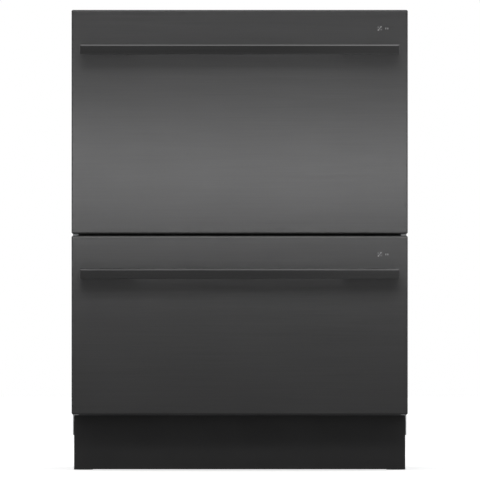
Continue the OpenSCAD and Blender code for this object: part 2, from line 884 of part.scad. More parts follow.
// Water valve: a body with a coil on top and an inlet with a collar, on the services plate
module water_valve() {
    valve_drop = plate_drop - 2;
    collar_h = 3;
    color("white")
        translate([-inlet_x, plate_y + sheet_t, service_z]) {
            translate([-valve_w / 2, 0, -valve_drop]) cube([valve_w, valve_d, valve_h]);
            translate([0, valve_d / 2, valve_h - valve_drop])
                cylinder(r = coil_r, h = coil_h);
            translate([0, valve_d, 0])
                rotate([-90, 0, 0]) difference() {
                    union() {
                        cylinder(r = inlet_r + 3, h = collar_h);
                        cylinder(r = inlet_r, h = collar_h + inlet_l);
                    }
                    translate([0, 0, collar_h + cut])
                        cylinder(r = inlet_r - inlet_wall, h = inlet_l);
                }
        }
}

// Drain joiner: a flange on the services plate with a hose spigot
module drain_joiner() {
    flange_t = 4;
    color("dimgray")
        translate([drain_x, plate_y + sheet_t, service_z])
            rotate([-90, 0, 0]) difference() {
                union() {
                    cylinder(r = drain_r + 6.5, h = flange_t);
                    cylinder(r = drain_r, h = flange_t + drain_l);
                }
                translate([0, 0, flange_t])
                    cylinder(r = drain_r - drain_wall, h = drain_l + cut);
            }
}

// ---------- runners ----------

// C-shaped member with its web at X = x, d deep towards +X or -X
module runner_member(x, d, h, l) {
    translate([d > 0 ? x : x - runner_t, runner_y, -h / 2]) cube([runner_t, l, h]);
    for (z = [-h / 2, h / 2 - runner_t])
        translate([d > 0 ? x : x + d, runner_y, z]) cube([abs(d), l, runner_t]);
}

// Fixed members of both drawers, each on three brackets on the side panel
module runners_fixed() {
    screw_l = 6;
    color("silver")
        for (d = [lower, upper])
            translate([0, 0, rim_z[d] - runner_drop])
                both_sides()
                    difference() {
                        union() {
                            runner_member(fixed_x, -fixed_d, member_h[0], runner_l);
                            for (y = bracket_y)
                                translate([fixed_x, y - bracket_l / 2, -bracket_l / 2])
                                    cube([bracket_t, bracket_l, bracket_l]);
                        }
                        for (y = bracket_y)
                            translate([inner_x - screw_l, y, 0])
                                rotate([0, 90, 0])
                                    cylinder(r = screw_r + fit_gap, h = screw_l + cut);
                    }
}

module runner_middle(d) {
    color("lightgray")
        translate([0, 0, rim_z[d] - runner_drop])
            both_sides()
                runner_member(middle_x, -middle_d, member_h[1], moving_l);
}

module runner_inner(d) {
    color("silver")
        translate([0, 0, rim_z[d] - runner_drop])
            both_sides()
                runner_member(inner_member_x, middle_d - runner_t, member_h[2], moving_l);
}

// Screws through the side panels into the runner brackets, and through the back panel
module screws() {
    color("silver")
        both_sides() {
            for (d = [lower, upper], y = bracket_y)
                translate([side_x, y, rim_z[d] - runner_drop])
                    rotate([0, 90, 0]) pan_screw(5 + sheet_t);
            for (z = back_screw_z)
                translate([back_screw_x, back_y + sheet_t, z])
                    rotate([-90, 0, 0]) pan_screw(2 * sheet_t);
        }
}

// Slotted guides on the side panels that raise and lower the two lids
module lid_lifters() {
    slot_r = peg_r + gap;
    slot_low = peg_z - lid_travel;
    slot_d = peg_reach + cut;
    color("dimgray")
        for (d = [lower, upper], y = peg_y)
            translate([0, y, rim_z[d]])
                both_sides()
                    difference() {
                        translate([lifter_x, -lifter_l / 2, lifter_z])
                            cube([inner_x - lifter_x, lifter_l, lid_stack - cut]);
                        for (z = [slot_low, peg_z])
                            translate([lifter_x - cut, 0, z])
                                rotate([0, 90, 0]) cylinder(r = slot_r, h = slot_d);
                        translate([lifter_x - cut, -slot_r, slot_low])
                            cube([slot_d, 2 * slot_r, lid_travel]);
                    }
}

// ---------- drawer front ----------

// Pressed steel skin with rounded folds, open at its back
module front_panel(d) {
    color([0.27, 0.27, 0.27])
        difference() {
            translate([0, face_y, front_z[d]])
                pillow_block(front_w, skin_return, front_h[d], fold_r);
            translate([0, skin_back, front_z[d] + skin_t])
                pillow_block(front_w - 2 * skin_t, skin_return, front_h[d] - 2 * skin_t,
                             fold_r - skin_t);
            translate([-frame_x, face_y + top_return, front_top[d] - fold_r - cut])
                cube([2 * frame_x, skin_return, fold_r + 2 * cut]);
            translate([lens_x, face_y - cut, front_top[d] - lens_drop])
                rotate([-90, 0, 0]) linear_extrude(height = skin_t + 2 * cut)
                    lens_outlines(lens_gap);
        }
}

// The round lens and the two small lights beside it
module lens_outlines(clearance) {
    circle(r = lens_r + clearance);
    for (i = [0, 1])
        translate([light_offset + i * light_pitch, 0])
            square([light_w + 2 * clearance, light_h + 2 * clearance], center = true);
}

// Lens and lights on their backing plate, flush with the skin
module indicator(d) {
    color([0.6, 0.6, 0.6])
        translate([lens_x, face_y, front_top[d] - lens_drop]) {
            rotate([-90, 0, 0]) linear_extrude(height = skin_t) lens_outlines(0);
            indicator_plate(lens_margin, lens_plate_t);
        }
}

// Plate behind the lens and the lights, with a margin around them
module indicator_plate(margin, depth) {
    lights_end = light_offset + light_pitch + light_w / 2;
    translate([-lens_r - margin, skin_t, -lens_r - margin])
        cube([lens_r + lights_end + 2 * margin, depth, 2 * (lens_r + margin)]);
}

// Moulded frame behind the skin: a tray with ribs and screw bosses, open towards the skin
module front_frame(d) {
    z0 = front_z[d] + skin_t + gap;
    h = front_top[d] - strip_drop - z0;
    depth = front_back_y - skin_back;
    w = 2 * frame_x;
    rib_step = (w - frame_wall) / frame_cells;
    color([0.2, 0.2, 0.2])
        difference() {
            union() {
                difference() {
                    translate([0, skin_back, z0])
                        pillow_block(w, depth, h, fold_r - skin_t - gap);
                    translate([-frame_x + frame_wall, skin_back - cut, z0 + frame_wall])
                        cube([w - 2 * frame_wall, depth - frame_wall + cut, h - 2 * frame_wall]);
                }
                for (i = [1:frame_cells - 1])
                    translate([-frame_x + i * rib_step, skin_back, z0 + frame_wall / 2])
                        cube([frame_wall, depth, h - frame_wall]);
                for (s = [-1, 1], m = [1, 3])
                    translate([s * (handle_len / 2 - mount_inset - m * mount_w / 4), skin_back,
                               handle_top[d] - handle_h / 2])
                        rotate([-90, 0, 0]) cylinder(r = boss_r, h = depth);
            }
            // window for the dispenser, and the seams beside it
            translate([-window_w / 2, skin_back - cut, rim_z[d] + dispenser_z - gap])
                cube([window_w, depth + 2 * cut, window_h]);
            for (x = [-window_w / 2, window_w / 2 - seam])
                translate([x, skin_back - cut, z0 - cut])
                    cube([seam, depth + 2 * cut, h + 2 * cut]);
            // recess behind the indicator
            translate([lens_x, face_y - cut, front_top[d] - lens_drop])
                indicator_plate(lens_margin + cut, lens_plate_t + 2 * cut);
        }
}

// Handle: a flat bar with chamfered edges on two solid end mounts
module handle(d) {
    c = handle_chamfer;
    b = bottom_chamfer;
    e = end_chamfer;
    end = handle_len / 2;
    mount_d = handle_reach - handle_t - seam;
    color([0.19, 0.19, 0.19])
        translate([0, face_y, handle_top[d] - handle_h]) {
            translate([0, -handle_reach, 0])
                intersection() {
                    translate([-end, 0, 0])
                        rotate([90, 0, 90]) linear_extrude(height = handle_len)
                            polygon([[0, b], [0, handle_h - c], [c, handle_h],
                                     [handle_t, handle_h], [handle_t, 0], [b, 0]]);
                    linear_extrude(height = handle_h)
                        polygon([[-end, e], [-end, handle_t], [end, handle_t],
                                 [end, e], [end - e, 0], [-end + e, 0]]);
                }
            both_sides()
                translate([end - mount_inset - mount_w, -mount_d, mount_inset])
                    cube([mount_w, mount_d, handle_h - 2 * mount_inset]);
        }
}

// Control strip along the top edge, with a well in which the buttons' lips travel
module control_strip(d) {
    top = front_top[d] - strip_top_drop;
    h = strip_drop - strip_top_drop;
    depth = front_back_y - strip_y;
    well_l = 3 * button_pitch;
    well_h = 2 * gap + button_lip + button_travel;
    color([0.12, 0.12, 0.12])
        difference() {
            translate([-frame_x, strip_y, top - h]) cube([2 * frame_x, depth, h]);
            translate([-well_l / 2, strip_y + strip_wall, top - strip_plate - well_h])
                cube([well_l, depth - 2 * strip_wall, well_h]);
            for (i = [-1:1])
                translate([i * button_pitch, (strip_y + front_back_y) / 2,
                           top - strip_plate - gap])
                    linear_extrude(height = strip_plate + gap + cut)
                        oblong(button_l + 2 * button_gap, button_w + 2 * button_gap);
        }
}

// Push button, held below the strip's plate by its lip
module button(d, i) {
    top = front_top[d] - strip_top_drop;
    lip_z = top - strip_plate - gap - button_lip;
    color("silver")
        translate([i * button_pitch, (strip_y + front_back_y) / 2, lip_z]) {
            linear_extrude(height = button_lip)
                oblong(button_l + 2 * button_lip, button_w + 2 * button_lip);
            linear_extrude(height = top + button_stand - lip_z)
                oblong(button_l, button_w);
        }
}

// ---------- wash drawer, measured from the rim ----------

// Section of a tub's wall, with the gutter below its overhanging rim
function wall_section() = let(lip = rim_over - gutter_wall) [
    [-tub_wall, floor_z - tub_wall], [0, floor_z - tub_wall], [0, -tub_wall], [lip, -tub_wall],
    [lip, -rim_h], [rim_over, -rim_h], [rim_over, 0], [-tub_wall, 0]];

// Stretch of a tub's rear wall from x0 to x1
module end_wall(x0, x1) {
    translate([x0, tub_l / 2, 0])
        rotate([90, 0, 90]) linear_extrude(height = x1 - x0) polygon(wall_section());
}

// Tub: a moulding of floor, walls and round corners, with hairline seams between its solids
module tub(d) {
    side_l = tub_l - 2 * tub_r - 2 * seam;
    end_x = tub_w / 2 - tub_r - seam;
    ribs = floor(side_l / 2 / rib_pitch);
    color("lightsteelblue")
        translate([0, tub_cy, rim_z[d]]) {
            translate([0, 0, floor_z - tub_wall])
                linear_extrude(height = tub_wall) difference() {
                    rounded_rect(inner_w - 2 * seam, inner_l - 2 * seam, tub_r - tub_wall - seam);
                    circle(r = sump_r + dish_w);
                }
            both_sides() {
                translate([tub_w / 2, side_l / 2, 0])
                    rotate([90, 0, 0]) linear_extrude(height = side_l) polygon(wall_section());
                for (i = [-ribs:ribs])
                    translate([(tub_w - tub_wall) / 2, i * rib_pitch - rib_t / 2, -rim_h - rib_h])
                        cube([rim_over - gutter_wall + tub_wall / 2, rib_t, rim_h + rib_h - tub_wall / 2]);
                for (s = [0, 1])
                    mirror([0, s, 0]) translate([end_x + seam, tub_l / 2 - tub_r, 0])
                        rotate_extrude(angle = 90) translate([tub_r, 0]) polygon(wall_section());
            }
            end_wall(-end_x, end_x);
            mirror([0, 1, 0]) {
                end_wall(-end_x, -window_w / 2);
                end_wall(window_w / 2, end_x);
                difference() {
                    end_wall(seam - window_w / 2, window_w / 2 - seam);
                    translate([-window_w / 2, tub_l / 2 - tub_wall - cut, dispenser_z - gap])
                        cube([window_w, tub_wall + 2 * cut, window_h]);
                }
            }
            sump();
            tub_pads();
        }
}

// Sump: a revolved bowl with a flange below the tub's floor
module sump() {
    top = floor_z - tub_wall - seam;
    mouth_r = sump_r + dish_w;
    rotate_extrude()
        polygon([[mouth_r, top], [sump_r, floor_z - dish_h], [sump_r, sump_floor_z],
                 [0, sump_floor_z], [0, motor_z], [sump_r + tub_wall, motor_z],
                 [sump_r + tub_wall, floor_z - dish_h - tub_wall],
                 [mouth_r + tub_wall, top - tub_wall],
                 [mouth_r + filter_lap, top - tub_wall], [mouth_r + filter_lap, top]]);
}

// Pads towards the runners and the front, and the four posts that the rack stands on
module tub_pads() {
    pad_d = inner_member_x - tub_w / 2 - seam;
    both_sides() {
        for (y = [-1:1])
            translate([tub_w / 2 + seam, y * (tub_l / 2 - tub_r - rib_pitch / 3) - pad_w / 2,
                       -runner_drop - runner_pad_h / 2])
                cube([pad_d, pad_w, runner_pad_h]);
        translate([tub_w / 2 - front_pad_inset - pad_w / 2, -tub_l / 2 - rim_over,
                   floor_z + front_pad_lift])
            cube([pad_w, rim_over - seam, front_pad_h]);
        for (s = [-1, 1])
            translate([inner_w / 2 - post_w, s * (tub_l / 2 - post_inset) - post_l / 2,
                       floor_z + seam])
                cube([post_w - seam, post_l, rack_lift - seam]);
    }
}

// Filter plate over the sump, with two rings of slots and the spray arm's spindle
module filter_plate(d) {
    outer_slot = sump_r - 4 - filter_slot_l;
    inner_slot = shoulder_r + 8;
    color("slategray")
        translate([0, tub_cy, rim_z[d] + floor_z]) {
            difference() {
                cylinder(r = filter_r, h = filter_t);
                for (i = [0:filter_slots - 1])
                    rotate(i * 360 / filter_slots) {
                        translate([inner_slot, -filter_slot_w / 2, -cut])
                            cube([outer_slot - 5 - inner_slot, filter_slot_w, filter_t + 2 * cut]);
                        translate([outer_slot, -filter_slot_w / 2, -cut])
                            cube([filter_slot_l, filter_slot_w, filter_t + 2 * cut]);
                    }
            }
            cylinder(r = shoulder_r, h = hub_z - floor_z - gap);
            cylinder(r = spindle_r, h = spindle_top - floor_z - gap);
        }
}

// One tapering blade of the spray arm, swept to one side at its round tip
module spray_blade() {
    tip_x = arm_r - tip_r;
    linear_extrude(height = blade_h) {
        polygon([[0, -blade_root], [tip_x, tip_sweep - tip_r],
                 [tip_x, tip_sweep + tip_r], [0, blade_root]]);
        translate([tip_x, tip_sweep]) circle(r = tip_r);
    }
}

// Spray arm with nozzles along each blade, turning on the spindle
module spray_arm(d) {
    color("silver")
        translate([0, tub_cy, rim_z[d]])
            difference() {
                union() {
                    translate([0, 0, arm_z])
                        for (a = [0, 180])
                            rotate(a) spray_blade();
                    translate([0, 0, hub_z]) cylinder(r = hub_r, h = hub_h);
                }
                translate([0, 0, hub_z - cut])
                    cylinder(r = spindle_r + spindle_gap, h = spindle_top - hub_z + cut);
                for (a = [0, 180], i = [0:nozzles - 1])
                    rotate(a)
                        translate([first_nozzle + i * nozzle_pitch,
                                   tip_sweep * (first_nozzle + i * nozzle_pitch) / arm_r,
                                   arm_z + blade_h - nozzle_d])
                            cylinder(r = nozzle_r, h = nozzle_d + cut);
            }
}

// Wash motor below the sump: a stepped drum with cooling fins
module wash_motor(d) {
    step_h = 5;
    fin_reach = 6;
    color("dimgray")
        translate([0, tub_cy, rim_z[d] + motor_z - motor_h]) {
            translate([0, 0, step_h]) cylinder(r = motor_r, h = motor_h - step_h);
            cylinder(r = motor_r - 2 * fin_reach, h = step_h + cut);
            for (i = [0:motor_fins - 1])
                rotate(i * 360 / motor_fins)
                    translate([motor_r - cut, -rib_t / 2, step_h + cut])
                        cube([fin_reach + cut, rib_t, motor_h - step_h - 2 * cut]);
        }
}

// Lid: a shallow cover with a skirt, crossed ribs below and guide pegs at its sides
module lid(d) {
    nx = floor((lid_w / 2 - skirt_w) / lid_rib_pitch);
    ny = floor((lid_l / 2 - skirt_w) / lid_rib_pitch);
    rib_low = lid_h - lid_t - lid_rib_h;
    color("whitesmoke") {
        translate([0, tub_cy, rim_z[d] + lid_z]) {
            difference() {
                linear_extrude(height = lid_h)
                    rounded_rect(lid_w, lid_l, lid_r);
                translate([0, 0, -cut])
                    linear_extrude(height = lid_h - lid_t + cut)
                        rounded_rect(lid_w - 2 * skirt_w, lid_l - 2 * skirt_w, lid_r - skirt_w);
            }
            for (i = [-nx:nx])
                translate([i * lid_rib_pitch - rib_t / 2, -lid_l / 2 + skirt_w / 2, rib_low])
                    cube([rib_t, lid_l - skirt_w, lid_rib_h + cut]);
            for (i = [-ny:ny])
                translate([-lid_w / 2 + skirt_w / 2, i * lid_rib_pitch - rib_t / 2, rib_low])
                    cube([lid_w - skirt_w, rib_t, lid_rib_h + cut]);
        }
        both_sides()
            for (y = peg_y)
                translate([lid_w / 2 - cut, y, rim_z[d] + peg_z])
                    rotate([0, 90, 0]) cylinder(r = peg_r, h = peg_reach + cut);
    }
}

// Stepped rubber seal below the lid's skirt
module lid_seal(d) {
    lip_w = 4;
    color("gray")
        translate([0, tub_cy, rim_z[d] + seal_z]) {
            linear_extrude(height = seal_h)
                rounded_ring(lid_w - 4, lid_l - 4, tub_r, lip_w);
            translate([0, 0, seal_h / 2])
                linear_extrude(height = seal_h / 2)
                    rounded_ring(lid_w - 1, lid_l - 1, tub_r, seal_w);
        }
}

// ---------- rack ----------

// Flat base of the rack, with a bar below each row of tines
module rack_base() {
    linear_extrude(height = bar_t) {
        difference() {
            rounded_rect(rack_w, rack_l, rack_r);
            intersection() {
                translate([-rack_w / 2, -rack_l / 2])
                    cells(rack_w, rack_l, cells_x, cells_y, bar_t);
                rounded_rect(rack_w - 2 * bar_t, rack_l - 2 * bar_t, rack_r - bar_t);
            }
        }
        for (y = row_y)
            translate([row_x, y - bar_t / 2])
                square([(tine_count - 1) * tine_pitch + bar_t, bar_t]);
    }
}

// Fence of uprights on the grid's lines, with level bars, its foot on the X axis
module fence(l, count, pitch) {
    for (i = [1:count - 1])
        if (abs(i - count / 2) * pitch < l / 2 - bar_t / 2)
            translate([(i - count / 2) * pitch - bar_t / 2, 0]) square([bar_t, fence_h]);
    for (k = [1:side_rows])
        translate([-l / 2, k * fence_step - bar_t]) square([l, bar_t]);
}

// Front, rear and sides of the rack
module rack_fences() {
    for (y = [-rack_l / 2 + bar_t, rack_l / 2])
        translate([0, y, 0])
            rotate([90, 0, 0]) linear_extrude(height = bar_t)
                fence(rack_w - 2 * (rack_r + seam), cells_x, (rack_w - bar_t) / cells_x);
    for (x = [-rack_w / 2, rack_w / 2 - bar_t])
        translate([x, 0, 0])
            rotate([90, 0, 90]) linear_extrude(height = bar_t)
                fence(rack_l - 2 * (rack_r + seam), cells_y, (rack_l - bar_t) / cells_y);
}

// Round corners that join the rack's level bars, each on an upright of its own
module rack_corners() {
    both_sides()
        for (s = [0, 1])
            mirror([0, s, 0])
                translate([rack_w / 2 - rack_r, rack_l / 2 - rack_r, 0]) {
                    for (k = [1:side_rows])
                        translate([0, 0, k * fence_step - bar_t])
                            rotate_extrude(angle = 90)
                                translate([rack_r - bar_t, 0]) square(bar_t);
                    rotate(45)
                        translate([rack_r - bar_t / 2, 0, 0])
                            cylinder(r = (bar_t - gap) / 2, h = fence_h - gap);
                }
}

// Rows of tines that stand on the base
module rack_tines() {
    for (y = row_y, i = [0:tine_count - 1])
        translate([row_x + i * tine_pitch, y + bar_t / 2, 0])
            rotate([90, 0, 0]) linear_extrude(height = bar_t)
                polygon([[0, 0], [bar_t, 0], [bar_t, tine_h - tine_tip[0]],
                         [bar_t - tine_tip[1], tine_h], [tine_tip[1], tine_h],
                         [0, tine_h - tine_tip[0]]]);
}

// Dish rack, with hairline seams between its base, fences, corners and tines
module rack(d) {
    color("white")
        translate([0, tub_cy, rim_z[d] + rack_z]) {
            rack_base();
            translate([0, 0, bar_t + seam]) {
                rack_fences();
                rack_corners();
                rack_tines();
            }
        }
}

// Clips on the rack's right side that hold the cup rack's rod
module rack_clips(d) {
    color("white")
        translate([rod_x, tub_cy, rim_z[d] + rod_z])
            for (s = [-1, 1])
                translate([0, s * clip_y, 0])
                    rotate([90, 0, 0]) difference() {
                        union() {
                            cylinder(r = clip_r, h = clip_l, center = true);
                            translate([0, -clip_r, -clip_l / 2])
                                cube([clip_r, 2 * clip_r, clip_l]);
                        }
                        cylinder(r = rod_r + fit_gap, h = clip_l + 2 * cut, center = true);
                    }
}

// Folding cup rack, stowed upright against the side of the rack
module cup_rack(d) {
    color("lightgray")
        translate([rod_x, tub_cy, rim_z[d] + rod_z]) {
            rotate([90, 0, 0]) cylinder(r = rod_r, h = 2 * (clip_y + clip_l), center = true);
            translate([-bar_t / 2, -cup_rack_l / 2, 0])
                rotate([90, 0, 90]) linear_extrude(height = bar_t) difference() {
                    square([cup_rack_l, cup_rack_d]);
                    cells(cup_rack_l, cup_rack_d, cup_cells, 2, bar_t);
                }
        }
}

// Cutlery basket with slotted sides, open cells and an end handle at each end
module cutlery_basket(d) {
    cell_w = basket_w - 2 * basket_wall;
    cell_l = (basket_l - (basket_cells + 1) * basket_wall) / basket_cells;
    slot_step = cell_l / basket_slots;
    slot_h = basket_h - 2 * basket_margin;
    color("lightgray")
        translate([basket_x, tub_cy - basket_l / 2, rim_z[d] + deck_z]) {
            difference() {
                cube([basket_w, basket_l, basket_h]);
                for (j = [0:basket_cells - 1])
                    translate([0, basket_wall + j * (cell_l + basket_wall), 0]) {
                        translate([basket_wall, 0, basket_wall])
                            cube([cell_w, cell_l, basket_h]);
                        for (k = [0:basket_slots - 1])
                            translate([-cut, (k + 0.5) * slot_step, basket_h / 2])
                                rotate([90, 90, 90]) linear_extrude(height = basket_w + 2 * cut)
                                    oblong(slot_h, basket_slot_w);
                    }
            }
            for (y = [basket_wall, basket_l])
                translate([0, y, basket_h - cut])
                    rotate([90, 0, 0]) linear_extrude(height = basket_wall) difference() {
                        square([basket_w, grip_h + cut]);
                        translate([basket_w / 2, cut + grip_h / 2])
                            oblong(basket_w - 4 * grip_margin, grip_h - 2 * grip_margin);
                    }
        }
}

// ---------- dispenser ----------

// Detergent dispenser let into the tub's front wall, with a well and a rinse-aid cap
module dispenser(d) {
    y0 = wall_face_y - dispenser_d;
    ear_x = flap_w / 2 + gap;
    back_wall = 2;
    color("lightgray")
        translate([0, 0, rim_z[d]])
            difference() {
                union() {
                    translate([-dispenser_w / 2, y0, dispenser_z])
                        cube([dispenser_w, dispenser_d, dispenser_h]);
                    translate([dispenser_w / 2 - cap_inset, wall_face_y,
                               dispenser_z + dispenser_h / 2])
                        rotate([-90, 0, 0]) cylinder(r = cap_r, h = cap_t);
                    for (x = [-ear_x - ear_t, ear_x])
                        translate([flap_x + x, wall_face_y - cut, flap_axis_z - ear_h / 2])
                            cube([ear_t, flap_axis_y + ear_t - wall_face_y + cut, ear_h]);
                }
                translate([flap_x - flap_w / 2 + well_wall, y0 + back_wall,
                           flap_axis_z + flap_margin])
                    cube([flap_w - 2 * well_wall, dispenser_d, flap_h - 2 * flap_margin]);
                translate([flap_x, flap_axis_y, flap_axis_z])
                    rotate([0, 90, 0])
                        cylinder(r = flap_pin_r + fit_gap, h = 2 * (ear_x + ear_t + cut),
                                 center = true);
            }
}

// Flap over the detergent well, hinged along its lower edge
module dispenser_flap(d) {
    color("whitesmoke")
        translate([flap_x, flap_axis_y, rim_z[d] + flap_axis_z]) {
            translate([-flap_w / 2, -flap_t / 2, 0]) cube([flap_w, flap_t, flap_h]);
            rotate([0, 90, 0]) cylinder(r = flap_t / 2, h = flap_w, center = true);
            rotate([0, 90, 0])
                cylinder(r = flap_pin_r, h = flap_w + 2 * (gap + ear_t), center = true);
            translate([-flap_tab[0] / 2, flap_t / 2 - 0.5, flap_h - 2 * flap_tab[2]]) cube(flap_tab);
        }
}

// ---------- nodes ----------

side_panels();
back_panel();
base_tray();
base_rails();
mid_rail();
top_cover();
toe_kick();
foot(-foot_x, foot_y[0]);  // foot_front_left
foot(foot_x, foot_y[0]);  // foot_front_right
foot(-foot_x, foot_y[1]);  // foot_rear_left
foot(foot_x, foot_y[1]);  // foot_rear_right
water_valve();
drain_joiner();
runners_fixed();
lid_lifters();
screws();
front_panel(lower);  // lower_front_panel
front_frame(lower);  // lower_front_frame
handle(lower);  // lower_handle
control_strip(lower);  // lower_control_strip
button(lower, -1);  // lower_power_button
button(lower, 0);  // lower_program_button
button(lower, 1);  // lower_start_button
indicator(lower);  // lower_indicator
tub(lower);  // lower_tub
filter_plate(lower);  // lower_filter_plate
wash_motor(lower);  // lower_wash_motor
spray_arm(lower);  // lower_spray_arm
lid(lower);  // lower_lid
lid_seal(lower);  // lower_lid_seal
rack(lower);  // lower_rack
rack_clips(lower);  // lower_rack_clips
cup_rack(lower);  // lower_cup_rack
cutlery_basket(lower);  // lower_cutlery_basket
runner_middle(lower);  // lower_runner_middle
runner_inner(lower);  // lower_runner_inner
dispenser(lower);  // lower_dispenser
dispenser_flap(lower);  // lower_dispenser_flap
front_panel(upper);  // upper_front_panel
front_frame(upper);  // upper_front_frame
handle(upper);  // upper_handle
control_strip(upper);  // upper_control_strip
button(upper, -1);  // upper_power_button
button(upper, 0);  // upper_program_button
button(upper, 1);  // upper_start_button
indicator(upper);  // upper_indicator
tub(upper);  // upper_tub
filter_plate(upper);  // upper_filter_plate
wash_motor(upper);  // upper_wash_motor
spray_arm(upper);  // upper_spray_arm
lid(upper);  // upper_lid
lid_seal(upper);  // upper_lid_seal
rack(upper);  // upper_rack
rack_clips(upper);  // upper_rack_clips
cup_rack(upper);  // upper_cup_rack
cutlery_basket(upper);  // upper_cutlery_basket
runner_middle(upper);  // upper_runner_middle
runner_inner(upper);  // upper_runner_inner
dispenser(upper);  // upper_dispenser
dispenser_flap(upper);  // upper_dispenser_flap
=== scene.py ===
"""Looks of the double drawer dishwasher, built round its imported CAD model."""

import json
import math

import bpy
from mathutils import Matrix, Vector

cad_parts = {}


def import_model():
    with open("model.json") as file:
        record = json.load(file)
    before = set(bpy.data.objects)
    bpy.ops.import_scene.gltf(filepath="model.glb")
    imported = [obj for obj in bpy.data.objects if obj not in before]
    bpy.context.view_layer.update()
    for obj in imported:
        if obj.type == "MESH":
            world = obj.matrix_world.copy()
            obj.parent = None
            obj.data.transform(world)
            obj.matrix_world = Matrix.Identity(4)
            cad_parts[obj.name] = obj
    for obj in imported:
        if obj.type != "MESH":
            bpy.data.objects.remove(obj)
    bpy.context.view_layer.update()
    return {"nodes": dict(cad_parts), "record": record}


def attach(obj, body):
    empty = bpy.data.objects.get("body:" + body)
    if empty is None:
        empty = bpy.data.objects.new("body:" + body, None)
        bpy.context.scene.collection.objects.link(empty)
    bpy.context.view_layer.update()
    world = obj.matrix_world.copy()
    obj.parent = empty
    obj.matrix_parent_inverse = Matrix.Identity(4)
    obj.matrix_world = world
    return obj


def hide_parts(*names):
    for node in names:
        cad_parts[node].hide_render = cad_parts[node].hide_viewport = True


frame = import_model()
nodes = frame["nodes"]
MM = 0.001
DRAWERS = ("lower", "upper")

# ---------------------------------------------------------------- materials


